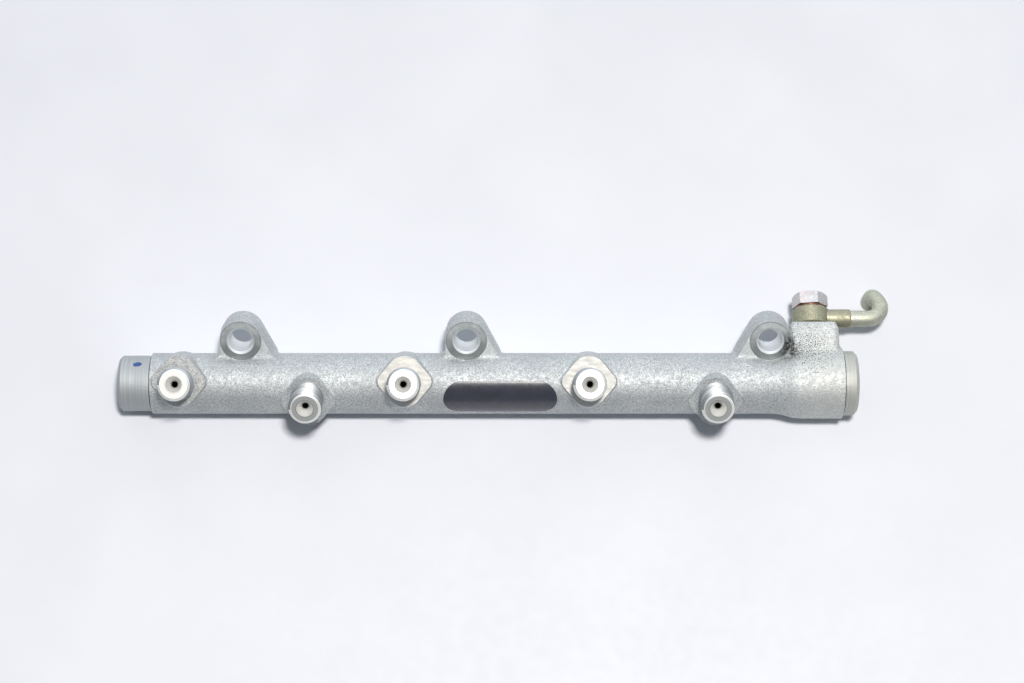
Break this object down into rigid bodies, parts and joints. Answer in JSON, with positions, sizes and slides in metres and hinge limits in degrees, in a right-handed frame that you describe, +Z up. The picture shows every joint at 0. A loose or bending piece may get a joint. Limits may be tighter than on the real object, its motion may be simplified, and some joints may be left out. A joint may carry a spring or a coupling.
{
  "type": "fuel rail",
  "caption": "High-pressure fuel rail: a forged steel tube with screwed pipe connectors, bolting lugs, open end ports and a return pipe held by a hollow bolt.",
  "frame": {"origin": "on the rail's axis, in the plane of the turned shoulder at the sensor end", "axes": "+X along the rail to the valve head, +Z up from the bench that the rail lies on, +Y to the side with the lugs and the return block"},
  "size_m": [0.3242, 0.0682, 0.0442],
  "materials": {
    "forged_steel": "zinc-plated forging, blasted grain, with bright machined faces",
    "plated_bolt": "zinc-plated, turned and rolled",
    "copper": "dull copper sealing washer",
    "chromated_steel": "yellow chromate over zinc",
    "pipe_steel": "bent steel pipe, olive chromate, worn",
    "label_film": "glossy dark film label, bare of print"
  },
  "bodies": {
    "root": {"rail_body": "forged_steel", "banjo_bolt": "plated_bolt", "inner_seal_washer": "copper", "outer_seal_washer": "copper", "banjo_eye": "chromated_steel", "return_pipe": "pipe_steel", "data_label": "label_film"}
  },
  "joints": []
}
